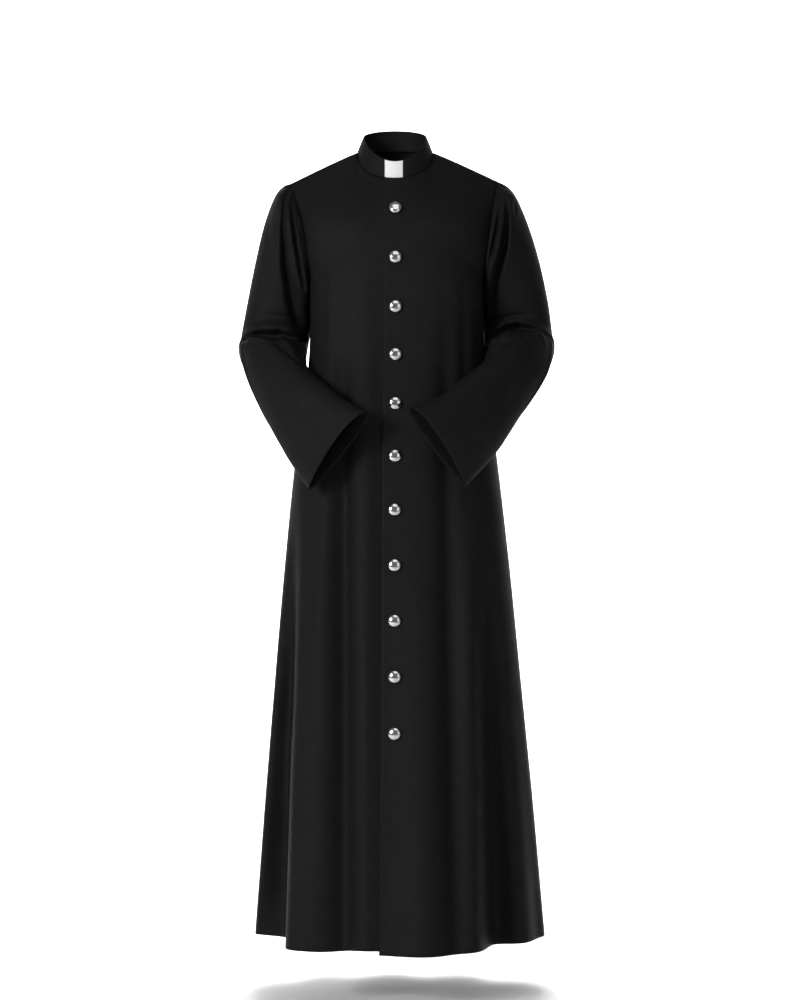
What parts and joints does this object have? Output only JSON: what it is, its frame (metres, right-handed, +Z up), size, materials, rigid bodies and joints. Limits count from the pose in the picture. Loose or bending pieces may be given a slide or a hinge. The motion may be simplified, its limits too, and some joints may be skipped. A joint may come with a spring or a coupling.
{
  "type": "cassock",
  "caption": "Full-length black clergy robe, worn: lapped front with domed metal buttons, stand collar with white tab, gathered sleeves with wide bell cuffs, soft flared skirt.",
  "frame": {"origin": "the middle of the neck at the height of the neck points, where the collar meets the shoulder seams", "axes": "+Z up, +X towards the wearer's left, the front of the garment faces -Y"},
  "size_m": [0.6109, 0.4889, 1.5628],
  "materials": {
    "cassock_cloth": "fine plain black cloth with a soft low sheen",
    "tab_white": "stiff white strip, finely ribbed",
    "button_metal": "polished silver-coloured metal, smooth dome"
  },
  "bodies": {
    "root": {"front_left": "cassock_cloth", "front_right": "cassock_cloth", "back": "cassock_cloth", "sleeve_left": "cassock_cloth", "sleeve_right": "cassock_cloth", "collar": "cassock_cloth", "collar_tab": "tab_white", "button_01": "button_metal", "button_02": "button_metal", "button_03": "button_metal", "button_04": "button_metal", "button_05": "button_metal", "button_06": "button_metal", "button_07": "button_metal", "button_08": "button_metal", "button_09": "button_metal", "button_10": "button_metal", "button_11": "button_metal"}
  },
  "joints": []
}
